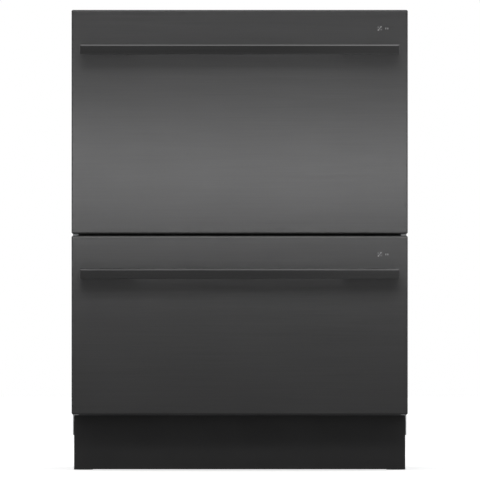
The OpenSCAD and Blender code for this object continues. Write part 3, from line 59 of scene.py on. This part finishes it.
class Look:
    """A Principled material whose colour, roughness and bump come from noise in object space."""

    def __init__(self, name, color, metallic=0.0, rough=0.5, **sockets):
        self.mat = bpy.data.materials.new(name)
        self.mat.use_nodes = True
        self.tree = self.mat.node_tree
        self.bsdf = self.tree.nodes["Principled BSDF"]
        self.bsdf.inputs["Metallic"].default_value = metallic
        self.bsdf.inputs["Roughness"].default_value = rough
        for key, value in sockets.items():
            self.bsdf.inputs[key].default_value = value
        self.rough = rough
        self.coord = self.node("ShaderNodeTexCoord").outputs["Object"]
        rgb = self.node("ShaderNodeRGB")
        rgb.outputs[0].default_value = (*color, 1.0)
        self.color = rgb.outputs[0]
        self.wire(self.color, self.bsdf.inputs["Base Color"])
        self.wire_rough = None
        self.normal = None

    def node(self, kind, **props):
        n = self.tree.nodes.new(kind)
        for key, value in props.items():
            setattr(n, key, value)
        return n

    def wire(self, a, b):
        self.tree.links.new(a, b)

    def math(self, op, a, b=None):
        n = self.node("ShaderNodeMath", operation=op)
        for i, v in enumerate((a, b)):
            if v is None:
                continue
            if isinstance(v, (int, float)):
                n.inputs[i].default_value = v
            else:
                self.wire(v, n.inputs[i])
        return n.outputs[0]

    def mapped(self, scale):
        """Object coordinates in metres times scale, which is one number or three."""
        m = self.node("ShaderNodeMapping")
        m.inputs["Scale"].default_value = scale if isinstance(scale, tuple) else (scale,) * 3
        self.wire(self.coord, m.inputs["Vector"])
        return m.outputs["Vector"]

    def noise(self, scale, detail=3.0):
        """Noise with scale in cycles a metre, along all axes or along X, Y and Z."""
        n = self.node("ShaderNodeTexNoise")
        n.inputs["Scale"].default_value = 1.0
        n.inputs["Detail"].default_value = detail
        self.wire(self.mapped(scale), n.inputs["Vector"])
        return n.outputs["Fac"]

    def cells(self, scale):
        """Patches like the crystals on a zinc coat, each with its own colour."""
        v = self.node("ShaderNodeTexVoronoi")
        v.inputs["Scale"].default_value = 1.0
        self.wire(self.mapped(scale), v.inputs["Vector"])
        return v

    def axis(self, index):
        """Where a point lies along X, Y or Z, in metres."""
        return self.split(self.coord)[index]

    def split(self, vector):
        parts = self.node("ShaderNodeSeparateXYZ")
        self.wire(vector, parts.inputs[0])
        return parts.outputs

    def span(self, fac, low, high, start=0.3, end=0.7):
        """Maps fac from start to end onto low to high."""
        r = self.node("ShaderNodeMapRange")
        ends = {"From Min": start, "From Max": end, "To Min": low, "To Max": high}
        for key, value in ends.items():
            r.inputs[key].default_value = value
        self.wire(fac, r.inputs["Value"])
        return r.outputs["Result"]

    def shade(self, fac, amount):
        """Makes the colour lighter and darker by amount."""
        v = self.node("ShaderNodeVectorMath", operation="SCALE")
        self.wire(self.color, v.inputs[0])
        self.wire(self.span(fac, 1.0 - amount, 1.0 + amount), v.inputs["Scale"])
        self.color = v.outputs[0]
        self.wire(self.color, self.bsdf.inputs["Base Color"])
        return self

    def tint(self, fac, color, start=0.5, end=0.7, most=1.0):
        """Mixes towards another colour where fac is high."""
        m = self.node("ShaderNodeMix", data_type="RGBA")
        first, second, result = m.inputs[6], m.inputs[7], m.outputs[2]
        self.wire(self.span(fac, 0.0, most, start, end), m.inputs["Factor"])
        self.wire(self.color, first)
        second.default_value = (*color, 1.0)
        self.color = result
        self.wire(self.color, self.bsdf.inputs["Base Color"])
        return self

    def gloss(self, fac, spread):
        """Makes the surface rougher and smoother by spread."""
        r = self.span(fac, self.rough - spread, self.rough + spread)
        if self.wire_rough is not None:
            r = self.math("ADD", r, self.math("SUBTRACT", self.wire_rough, self.rough))
        self.wire_rough = r
        self.wire(r, self.bsdf.inputs["Roughness"])
        return self

    def bump(self, fac, depth, strength=1.0):
        """Relief of that depth in metres."""
        b = self.node("ShaderNodeBump")
        b.inputs["Strength"].default_value = strength
        b.inputs["Distance"].default_value = depth
        self.wire(fac, b.inputs["Height"])
        if self.normal is not None:
            self.wire(self.normal, b.inputs["Normal"])
        self.normal = b.outputs["Normal"]
        self.wire(self.normal, self.bsdf.inputs["Normal"])
        return self

    def spread_across(self, axis, amount):
        """Stretches highlights round that axis, across a grain that runs along it."""
        tangent = self.node("ShaderNodeTangent", direction_type="RADIAL", axis=axis)
        self.wire(tangent.outputs["Tangent"], self.bsdf.inputs["Tangent"])
        self.bsdf.inputs["Anisotropic"].default_value = amount

    def edges(self, color, radius=0.0007, most=0.5):
        """Lighter wear along edges, found by comparing the face's normal with a rounded one."""
        bevel = self.node("ShaderNodeBevel", samples=4)
        bevel.inputs["Radius"].default_value = radius
        face = self.node("ShaderNodeNewGeometry")
        dot = self.node("ShaderNodeVectorMath", operation="DOT_PRODUCT")
        self.wire(bevel.outputs["Normal"], dot.inputs[0])
        self.wire(face.outputs["Normal"], dot.inputs[1])
        away = self.math("SUBTRACT", 1.0, dot.outputs["Value"])
        worn = self.math("MULTIPLY", away, self.span(self.noise(60), 0.3, 1.3))
        return self.tint(worn, color, 0.03, 0.3, most)


def brushed(name, color, rough, along, metallic=1.0, fine=1400, coarse=380, depth=2e-5, **sockets):
    """Brushed metal with its grain along X or Y."""
    long_axis = {"x": 0, "y": 1}[along]

    def grain(across, length):
        """Cycles a metre across the grain and along it."""
        scale = [across] * 3
        scale[long_axis] = length
        return tuple(scale)

    look = Look(name, color, metallic, rough, **sockets)
    hair = look.noise(grain(fine, 9.0), 2.0)
    band = look.noise(grain(coarse, 3.0), 3.0)
    cloud = look.noise(7, 2.0)
    look.shade(hair, 0.07).shade(band, 0.035)
    look.gloss(band, 0.03).gloss(cloud, 0.012)
    look.bump(hair, depth, 0.35)
    return look


def moulded(name, color, rough, grain=1600, depth=1.5e-5, **sockets):
    """Moulded plastic with a fine tool texture, flow shades and a trace of handling."""
    look = Look(name, color, 0.0, rough, **sockets)
    fine = look.noise(grain, 2.0)
    flow = look.noise((16, 22, 12), 3.0)
    look.shade(flow, 0.045).shade(fine, 0.02)
    look.gloss(flow, 0.05).gloss(look.noise(90), 0.03)
    look.bump(fine, depth, 0.5).bump(look.noise(45, 1.0), 6e-5, 0.25)
    return look


def dark_steel():
    """The fronts' dark steel, brushed from side to side."""
    look = brushed("dark_steel", (0.0248, 0.0248, 0.0250), 0.41, "x")
    look.spread_across("X", 0.65)
    look.edges((0.06, 0.06, 0.061), 0.0006, 0.35)
    return look


def handle_metal():
    """The handles' metal, with painted light that makes it a little paler towards +X."""
    look = brushed("handle_metal", (0.0318, 0.0318, 0.0320), 0.2, "x", fine=1800, depth=1e-5)
    # Painted light: the colour grows paler towards +X, as a lamp on that side would light it.
    look.shade(look.span(look.axis(0), 0.3, 0.7, 0.06, 0.30), 0.13)
    look.edges((0.06, 0.06, 0.06), 0.0005, 0.4)
    return look


def black_sheet():
    """Steel sheet under a dull black powder coat with a few pale specks."""
    look = Look("black_sheet", (0.0105, 0.0105, 0.0107), 0.0, 0.5, **{"Specular IOR Level": 0.15})
    peel = look.noise(1300, 2.0)
    look.shade(look.noise(30), 0.08)
    look.tint(look.noise(500, 4.0), (0.05, 0.05, 0.05), 0.66, 0.75, 0.25)
    look.gloss(look.noise(14), 0.05).bump(peel, 3e-5, 0.6)
    return look


def zinc_sheet():
    """Galvanised sheet with its spangle."""
    look = Look("zinc_sheet", (0.40, 0.41, 0.42), 0.9, 0.4)
    spangle = look.cells(95)
    tone = look.node("ShaderNodeSeparateColor")
    look.wire(spangle.outputs["Color"], tone.inputs[0])
    look.shade(tone.outputs[0], 0.06).shade(look.noise(9), 0.06)
    look.gloss(tone.outputs[1], 0.07).gloss(look.noise((700, 700, 30)), 0.03)
    look.tint(look.noise(26, 5.0), (0.62, 0.62, 0.61), 0.62, 0.8, 0.3)
    look.bump(look.noise(300, 3.0), 2e-5, 0.3)
    return look


def runner_steel():
    """Bright steel drawn along Y, with traces of grease."""
    look = brushed("runner_steel", (0.50, 0.50, 0.49), 0.26, "y", fine=2200, coarse=700, depth=8e-6)
    look.tint(look.noise((30, 8, 30), 4.0), (0.36, 0.34, 0.28), 0.58, 0.75, 0.3)
    look.edges((0.7, 0.7, 0.7), 0.0004, 0.4)
    return look


def filter_steel():
    """Stainless plate with a fine mesh of holes."""
    look = brushed("filter_steel", (0.46, 0.46, 0.46), 0.3, "x", fine=1500, depth=8e-6)
    x, y, _ = look.split(look.mapped(4200))
    wave = look.math("MULTIPLY", look.math("SINE", x), look.math("SINE", y))
    look.tint(wave, (0.05, 0.05, 0.05), 0.45, 0.7, 0.85).bump(wave, -8e-5, 0.6)
    return look


def coated_wire():
    """Wire under a smooth nylon coat."""
    coat = {"Coat Weight": 0.25, "Coat Roughness": 0.18}
    look = Look("rack_wire", (0.34, 0.36, 0.39), 0.0, 0.26, **coat)
    look.shade(look.noise(25), 0.05).shade(look.noise(600), 0.02)
    look.gloss(look.noise(70), 0.06).bump(look.noise(260, 1.0), 6e-5, 0.4)
    return look


def rubber():
    """Dull black rubber with a dusty bloom."""
    look = Look("seal_rubber", (0.038, 0.038, 0.04), 0.0, 0.72)
    look.shade(look.noise(40, 4.0), 0.12)
    look.tint(look.noise(900, 3.0), (0.1, 0.1, 0.1), 0.62, 0.75, 0.4)
    look.gloss(look.noise(30), 0.06).bump(look.noise(1500), 2e-5, 0.7)
    return look


def lens_plastic():
    """The indicator's dark window."""
    coat = {"Coat Weight": 0.2, "Coat Roughness": 0.1}
    look = Look("lens", (0.034, 0.034, 0.035), 0.6, 0.3, **coat)
    look.shade(look.noise(500), 0.05).gloss(look.noise(200), 0.03)
    return look


def print_ink(name, tone, glow=0.12):
    """Grey printing that is faintly lit from behind."""
    look = Look(name, (tone,) * 3, 0.0, 0.5)
    look.shade(look.noise(900), 0.06).gloss(look.noise(700), 0.05)
    look.bsdf.inputs["Emission Color"].default_value = (tone, tone, tone, 1.0)
    look.bsdf.inputs["Emission Strength"].default_value = glow
    return look


LOOKS = {
    "dark_steel": dark_steel(),
    "handle_metal": handle_metal(),
    "black_sheet": black_sheet(),
    "zinc_sheet": zinc_sheet(),
    "runner_steel": runner_steel(),
    "black_plastic": moulded("black_plastic", (0.022, 0.022, 0.023), 0.42),
    "white_plastic": moulded("white_plastic", (0.70, 0.70, 0.67), 0.38, grain=1200),
    "tub_plastic": moulded("tub_plastic", (0.33, 0.35, 0.37), 0.34, grain=900, depth=1e-5),
    "arm_plastic": moulded("arm_plastic", (0.155, 0.17, 0.19), 0.36),
    "motor_plastic": moulded("motor_plastic", (0.013, 0.013, 0.014), 0.5, depth=3e-5),
    "filter_steel": filter_steel(),
    "rack_wire": coated_wire(),
    "rack_plastic": moulded("rack_plastic", (0.21, 0.235, 0.265), 0.33),
    "seal_rubber": rubber(),
    "button_metal": brushed("button_metal", (0.30, 0.30, 0.31), 0.3, "x", metallic=0.8),
    "lens": lens_plastic(),
    "ink_bright": print_ink("ink_bright", 0.40),
    "ink_dim": print_ink("ink_dim", 0.15),
    "light_mark": print_ink("light_mark", 0.42),
}


def dress(obj, look):
    """Gives an object one of the materials above."""
    obj.data.materials.clear()
    obj.data.materials.append(LOOKS[look].mat)


for part in frame["record"]["subparts"]:
    dress(nodes[part["node"]], part["material_slot"])

# ---------------------------------------------------------------- mesh helpers


def piece(name, verts, faces, look, body, smooth=True):
    """A mesh piece from points in millimetres, in place, riding on a body."""
    mesh = bpy.data.meshes.new(name)
    mesh.from_pydata([(x * MM, y * MM, z * MM) for x, y, z in verts], [], faces)
    mesh.validate()
    mesh.update()
    obj = bpy.data.objects.new(name, mesh)
    bpy.context.scene.collection.objects.link(obj)
    for p in mesh.polygons:
        p.use_smooth = smooth
    dress(obj, look)
    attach(obj, body)
    return obj


def rounded(points, radius, closed=False, steps=5):
    """The same route with its corners turned into arcs."""
    points = [Vector(p) for p in points]
    out = []
    count = len(points)
    for i, p in enumerate(points):
        if not closed and i in (0, count - 1):
            out.append(p)
            continue
        a, b = points[i - 1] - p, points[(i + 1) % count] - p
        half = a.angle(b) / 2
        reach = radius / math.tan(half)
        start, end = p + a.normalized() * reach, p + b.normalized() * reach
        middle = p + (a.normalized() + b.normalized()).normalized() * radius / math.sin(half)
        u, w = start - middle, end - middle
        for k in range(steps + 1):
            out.append(middle + u.slerp(w, k / steps))
    return out


DOME = ((0.0, 0.05), (0.13, 0.5), (0.5, 0.87), (1.0, 1.0))


def wire_mesh(routes, sides=10):
    """Verts and faces of round wires, each (points, radius, closed), domed where they end."""
    verts, faces = [], []
    for points, radius, closed in routes:
        points = [Vector(p) for p in points]
        if not closed:
            first = (points[0] - points[1]).normalized()
            last = (points[-1] - points[-2]).normalized()
            rings = [(points[0] - first * radius * lift, share) for lift, share in DOME]
            rings += [(p, 1.0) for p in points[1:-1]]
            rings += [(points[-1] - last * radius * lift, share) for lift, share in reversed(DOME)]
        else:
            rings = [(p, 1.0) for p in points]
        n = len(rings)
        start = len(verts)
        side = None
        for i, (p, share) in enumerate(rings):
            if closed:
                way = rings[(i + 1) % n][0] - rings[i - 1][0]
            else:
                way = rings[min(i + 1, n - 1)][0] - rings[max(i - 1, 0)][0]
            way.normalize()
            if side is None:
                side = way.orthogonal().normalized()
            side = (side - way * side.dot(way)).normalized()
            up = way.cross(side)
            for k in range(sides):
                t = 2 * math.pi * k / sides
                verts.append(tuple(p + (side * math.cos(t) + up * math.sin(t)) * radius * share))
        for i in range(n if closed else n - 1):
            j = (i + 1) % n
            shift = 0
            if closed and j == 0:
                end = Vector(verts[start + i * sides])
                near = [(Vector(verts[start + s]) - end).length for s in range(sides)]
                shift = near.index(min(near))
            for k in range(sides):
                a, b = start + i * sides + k, start + i * sides + (k + 1) % sides
                c = start + j * sides + (k + 1 + shift) % sides
                d = start + j * sides + (k + shift) % sides
                faces.append((a, b, c, d))
        if not closed:
            faces.append(tuple(start + k for k in reversed(range(sides))))
            faces.append(tuple(start + (n - 1) * sides + k for k in range(sides)))
    return verts, faces


# Height and breadth of a thin plate's rings, sunk by a hair at its foot and eased at its edge.
SUNK = -0.05
EDGE_UP, EDGE_IN = 0.6, 0.93


def plates(outlines, origin, across, up, depth):
    """Verts and faces of thin plates from 2D outlines, growing outward by depth."""
    across, up, origin = Vector(across), Vector(up), Vector(origin)
    out = across.cross(up)
    verts, faces = [], []
    for outline in outlines:
        n, start = len(outline), len(verts)
        cx = sum(p[0] for p in outline) / n
        cy = sum(p[1] for p in outline) / n
        for lift, inset in ((SUNK, 1.0), (depth * EDGE_UP, 1.0), (depth, EDGE_IN)):
            for x, y in outline:
                side, rise = cx + (x - cx) * inset, cy + (y - cy) * inset
                verts.append(tuple(origin + across * side + up * rise + out * lift))
        for ring in range(2):
            for k in range(n):
                a = start + ring * n
                faces.append((a + k, a + (k + 1) % n, a + n + (k + 1) % n, a + n + k))
        faces.append(tuple(start + 2 * n + k for k in range(n)))
        faces.append(tuple(start + k for k in reversed(range(n))))
    return verts, faces


def lobe(length, width, reach, turn, steps=18):
    """A drop shape that points away from the middle, as on a small rotor."""
    c, s = math.cos(turn), math.sin(turn)
    out = []
    for k in range(steps):
        t = 2 * math.pi * k / steps
        x = reach + length / 2 * math.cos(t)
        y = width / 2 * math.sin(t) * (0.75 + 0.25 * math.cos(t))
        out.append((x * c - y * s, x * s + y * c))
    return out


def bar(x0, y0, x1, y1, w):
    """Outline of a thin bar of width w with round ends."""
    way = math.atan2(y1 - y0, x1 - x0)
    out = []
    for cx, cy, start in ((x1, y1, way - math.pi / 2), (x0, y0, way + math.pi / 2)):
        for k in range(6):
            t = start + math.pi * k / 5
            out.append((cx + w / 2 * math.cos(t), cy + w / 2 * math.sin(t)))
    return out


# ---------------------------------------------------------------- pieces

# Millimetres, as in the CAD source.
FRONT_TOP = {"lower": 417.5, "upper": 820.0}
RIM = {"lower": 392.0, "upper": 792.0}
FACE_Y = -265.5
TUB_Y = 10.5
RACK_W, RACK_L, RACK_R, BAR = 516.0, 452.0, 28.0, 4.0
RACK_Z, FENCE_H = -205.0, 131.0
CELLS_X, CELLS_Y = 12, 10
ROW_X, TINES, TINE_PITCH, TINE_H = -116.0, 11, 36.0, 70.0
ROW_PITCH = 78.0
ROWS = [j * ROW_PITCH for j in range(-2, 3)]
RIM_R, WIRE_R, TINE_R = 2.0, 1.75, 1.95
BEND_R = 9.0
TIP_DROP, POST_DROP, SIDE_GAP = 0.4, 1.0, 0.1
INDICATOR_X, INDICATOR_DROP = 249.5, 33.0
STRIP_FRONT_Y, STRIP_BACK_Y = -259.2, -235.5
BUTTON_PITCH, BUTTON_DROP = 46.0, 0.6
INDICATOR_INK, BUTTON_INK = 0.08, 0.06
LIP_END, LIP_BACK, LIP_FRONT, LIP_Z = 294.5, -204.5, -215.4, 97.0


def rack_wires(drawer):
    """The dish rack as round coated wires on the lines of its CAD bars."""
    base = RIM[drawer] + RACK_Z
    deck = base + BAR
    top = deck + FENCE_H
    hw, hl = RACK_W / 2 - RIM_R, RACK_L / 2 - RIM_R
    routes = []

    for z in (base + RIM_R, deck + FENCE_H / 2 - RIM_R, top - RIM_R):
        ring = [(sx * hw, TUB_Y + sy * hl, z) for sx, sy in ((-1, -1), (1, -1), (1, 1), (-1, 1))]
        routes.append((rounded(ring, RACK_R - RIM_R, True, 7), RIM_R, True))

    def hoop(start, end, z):
        """A wire down one fence, across the floor and up the other fence."""
        tip = top - TIP_DROP
        route = [(*start, tip), (*start, z), (*end, z), (*end, tip)]
        routes.append((rounded(route, BEND_R), WIRE_R, False))

    for i in range(1, CELLS_X):
        x = (i - CELLS_X / 2) * (RACK_W - BAR) / CELLS_X
        reach = hl - SIDE_GAP
        hoop((x, TUB_Y - reach), (x, TUB_Y + reach), base + WIRE_R)
    for j in range(1, CELLS_Y):
        y = TUB_Y + (j - CELLS_Y / 2) * (RACK_L - BAR) / CELLS_Y
        reach = hw - SIDE_GAP
        hoop((-reach, y), (reach, y), base + BAR - WIRE_R)

    corner_r = (RACK_R - RIM_R) * math.sqrt(0.5)
    for sx in (-1, 1):
        for sy in (-1, 1):
            x = sx * (RACK_W / 2 - RACK_R) + sx * corner_r
            y = TUB_Y + sy * (RACK_L / 2 - RACK_R) + sy * corner_r
            routes.append(([(x, y, base + POST_DROP), (x, y, top - POST_DROP)], WIRE_R, False))

    row_end = ROW_X + (TINES - 1) * TINE_PITCH + BAR
    for row in ROWS:
        y = TUB_Y + row
        routes.append(([(ROW_X, y, base + RIM_R), (row_end, y, base + RIM_R)], RIM_R, False))
        for i in range(TINES):
            x = ROW_X + BAR / 2 + i * TINE_PITCH
            routes.append(([(x, y, base + POST_DROP), (x, y, deck + TINE_H)], TINE_R, False))
    verts, faces = wire_mesh(routes)
    obj = piece(f"{drawer}_rack_wires", verts, faces, "rack_wire", f"{drawer}_drawer")
    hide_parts(f"{drawer}_rack")


def indicator(drawer):
    """Small rotor sign behind the lens, and the two lights beside it."""
    place = (INDICATOR_X, FACE_Y, FRONT_TOP[drawer] - INDICATOR_DROP)
    turn, right = math.atan2(2.95, 2.4), math.pi / 2
    bright = [lobe(3.3, 2.7, 3.35, turn), lobe(3.5, 2.8, 3.35, turn + 2 * right),
              bar(-1.6, -1.9, 1.6, 1.9, 0.8)]
    dim = [lobe(3.1, 2.6, 3.2, turn + right), lobe(3.1, 2.6, 3.1, turn - right)]
    half, low, high = 0.6, -1.7, 1.3
    lights = [[(x - half, low), (x + half, low), (x + half, high), (x - half, high)]
              for x in (10.9, 14.5)]
    for name, shapes, look in (("icon_bright", bright, "ink_bright"), ("icon_dim", dim, "ink_dim"),
                               ("lights", lights, "light_mark")):
        verts, faces = plates(shapes, place, (1, 0, 0), (0, 0, 1), INDICATOR_INK)
        piece(f"{drawer}_{name}", verts, faces, look, f"{drawer}_drawer", smooth=False)


def button_signs(drawer):
    """Plain signs on the three buttons: power, program and start."""
    z = FRONT_TOP[drawer] - BUTTON_DROP
    y = (STRIP_FRONT_Y + STRIP_BACK_Y) / 2
    count, ring_r, line, inner = 20, 3.0, 0.7, 0.77
    turns = [math.radians(125 + 290 * k / count) for k in range(count + 1)]
    outer = [(ring_r * math.cos(t), ring_r * math.sin(t)) for t in turns]
    ring = [[a, b, (b[0] * inner, b[1] * inner), (a[0] * inner, a[1] * inner)]
            for a, b in zip(outer, outer[1:])]
    signs = {
        "power": ring + [bar(0, 0.9, 0, 3.3, line)],
        "program": [bar(-2.6, 1.9 * (1 - i), 2.6 - 1.3 * i, 1.9 * (1 - i), line) for i in range(3)],
        "start": [[(-2.0, -2.6), (2.7, 0.0), (-2.0, 2.6)]],
    }
    for i, (name, shapes) in enumerate(signs.items()):
        place = ((i - 1) * BUTTON_PITCH, y, z)
        verts, faces = plates(shapes, place, (1, 0, 0), (0, 1, 0), BUTTON_INK)
        piece(f"{drawer}_{name}_sign", verts, faces, "ink_bright", f"{drawer}_{name}_button",
              smooth=False)


def toe_lip():
    """Soft lip on the toe kick's top edge, closing the slot under the lower front."""
    profile = [(0.0, 0.0), (0.0, 4.0), (0.5, 4.4), (1.1, 4.1), (1.7, 1.2),
               (LIP_BACK - LIP_FRONT, 1.0), (LIP_BACK - LIP_FRONT, 0.0)]
    verts = [(x, LIP_FRONT + y, LIP_Z + z) for x in (-LIP_END, LIP_END) for y, z in profile]
    n = len(profile)
    faces = [(k, (k + 1) % n, n + (k + 1) % n, n + k) for k in range(n)]
    faces += [tuple(reversed(range(n))), tuple(range(n, 2 * n))]
    piece("toe_lip", verts, faces, "seal_rubber", "chassis", smooth=False)


toe_lip()
for drawer in DRAWERS:
    rack_wires(drawer)
    indicator(drawer)
    button_signs(drawer)


EDGE_ANGLE = math.radians(40)


def soften(node, width):
    """Small rounded edges, of that width in millimetres, on a CAD node."""
    obj = nodes[node]
    weld = obj.modifiers.new("weld", "WELD")
    weld.merge_threshold = 1e-6
    bevel = obj.modifiers.new("bevel", "BEVEL")
    bevel.width = width * MM
    bevel.segments = 2
    bevel.limit_method = "ANGLE"
    bevel.angle_limit = EDGE_ANGLE
    bevel.use_clamp_overlap = True


for drawer in DRAWERS:
    soften(f"{drawer}_handle", 0.35)
    soften(f"{drawer}_control_strip", 0.25)

# ---------------------------------------------------------------- floor, light and camera

WATTS = 4.0  # of an area light a square metre, at level 1
IMAGE_W = 480
PIXEL = 1.7815  # millimetres at the fronts
EYE_X, EYE_Z = 0.0006, 0.4100


def seen(tree):
    """One for rays from the camera and from glossy or clear surfaces, else nought."""
    path = tree.nodes.new("ShaderNodeLightPath")
    total = path.outputs["Is Camera Ray"]
    for kind in ("Is Glossy Ray", "Is Transmission Ray"):
        add = tree.nodes.new("ShaderNodeMath")
        add.operation = "ADD"
        add.use_clamp = True
        tree.links.new(total, add.inputs[0])
        tree.links.new(path.outputs[kind], add.inputs[1])
        total = add.outputs[0]
    return total


def white_when_seen(tree, shader, strength):
    """Adds white light to a shader where a ray counts as seen."""
    scale = tree.nodes.new("ShaderNodeMath")
    scale.operation = "MULTIPLY"
    tree.links.new(seen(tree), scale.inputs[0])
    scale.inputs[1].default_value = strength
    glow = tree.nodes.new("ShaderNodeEmission")
    tree.links.new(scale.outputs[0], glow.inputs["Strength"])
    both = tree.nodes.new("ShaderNodeAddShader")
    tree.links.new(shader, both.inputs[0])
    tree.links.new(glow.outputs[0], both.inputs[1])
    return both.outputs[0]


def floor():
    """Pale floor just under the feet, which keeps the shadow."""
    size, z = 14.0, -2e-4
    mesh = bpy.data.meshes.new("floor")
    corners = [(sx * size, sy * size, z) for sx, sy in ((-1, -1), (1, -1), (1, 1), (-1, 1))]
    mesh.from_pydata(corners, [], [(0, 1, 2, 3)])
    obj = bpy.data.objects.new("floor", mesh)
    bpy.context.scene.collection.objects.link(obj)
    look = Look("floor", (0.8, 0.8, 0.8), 0.0, 0.85)
    look.shade(look.noise(3), 0.01).gloss(look.noise(8), 0.03)
    out = look.tree.nodes["Material Output"]
    look.wire(white_when_seen(look.tree, look.bsdf.outputs[0], 0.56), out.inputs["Surface"])
    obj.data.materials.append(look.mat)


def world():
    """White background that lights the object more softly than it looks."""
    w = bpy.data.worlds.new("studio")
    bpy.context.scene.world = w
    w.use_nodes = True
    tree = w.node_tree
    ground = tree.nodes["Background"]
    ground.inputs["Color"].default_value = (1.0, 1.0, 1.0, 1.0)
    level = tree.nodes.new("ShaderNodeMapRange")
    level.inputs["To Min"].default_value = 0.55
    level.inputs["To Max"].default_value = 1.0
    tree.links.new(seen(tree), level.inputs["Value"])
    tree.links.new(level.outputs["Result"], ground.inputs["Strength"])


def linked(name, parts, state):
    """A collection of nodes, included in a light's linking or excluded from it."""
    group = bpy.data.collections.new(name)
    for node in parts:
        group.objects.link(nodes[node])
    for entry in group.collection_objects:
        entry.light_linking.link_state = state
    return group


def softbox(name, place, aim, size, level, diffuse=True, glossy=True, past=(), only=()):
    """An area light unseen by the camera, which the nodes in past don't shade.

    It lights only the nodes in only, or all if none is named.
    """
    light = bpy.data.lights.new(name, "AREA")
    light.shape = "RECTANGLE"
    light.size, light.size_y = size
    light.energy = WATTS * size[0] * size[1] * level
    obj = bpy.data.objects.new(name, light)
    obj.location = place
    way = Vector(aim) - Vector(place)
    obj.rotation_euler = way.to_track_quat("-Z", "Y").to_euler()
    obj.visible_camera = False
    obj.visible_diffuse = diffuse
    obj.visible_glossy = glossy
    bpy.context.scene.collection.objects.link(obj)
    if past:
        obj.light_linking.blocker_collection = linked(f"{name}_passes", past, "EXCLUDE")
    if only:
        obj.light_linking.receiver_collection = linked(f"{name}_lights", only, "INCLUDE")


def camera():
    """Straight on, from so far away that nothing tapers."""
    data = bpy.data.cameras.new("camera")
    data.sensor_width = 36.0
    data.lens = 1300.0
    data.clip_end = 200.0
    obj = bpy.data.objects.new("camera", data)
    away = IMAGE_W * PIXEL * MM * data.lens / data.sensor_width
    obj.location = (EYE_X, FACE_Y * MM - away, EYE_Z)
    obj.rotation_euler = (math.radians(90), 0, 0)
    bpy.context.scene.collection.objects.link(obj)
    bpy.context.scene.camera = obj


floor()
world()
camera()
centre = (0, 0, 0.45)
softbox("key", (-1.9, -2.4, 2.3), centre, (1.6, 1.6), 1.6, glossy=False)
softbox("fill", (2.3, -2.0, 1.6), centre, (1.6, 1.6), 0.7, glossy=False)
softbox("back", (0.6, 2.6, 2.0), centre, (1.8, 1.4), 0.9, glossy=False)

# The lamps for the glow on the dark fronts, which would be too strong on the pale cabinet.
front_parts = ("front_panel", "handle", "control_strip", "indicator")
fronts = [f"{drawer}_{part}" for drawer in DRAWERS for part in front_parts] + ["toe_kick"]
glow = {"diffuse": False, "only": fronts}
softbox("overhead", (0, -0.5, 2.4), (0, -0.1, 0.4), (2.2, 1.6), 2.8, **glow)
softbox("high", (0, -1.7, 1.72), (0, -0.2, 0.7), (2.6, 0.5), 7.2, **glow)
strip = ((0, -0.6, 0.53), (0, 0, 0.53), (2.4, 0.12))
softbox("strip_a", *strip, 5.8, past=["upper_handle"], **glow)
softbox("strip_b", *strip, 4.4, past=["upper_handle", "lower_handle"], **glow)

bpy.context.scene.view_settings.view_transform = "Standard"
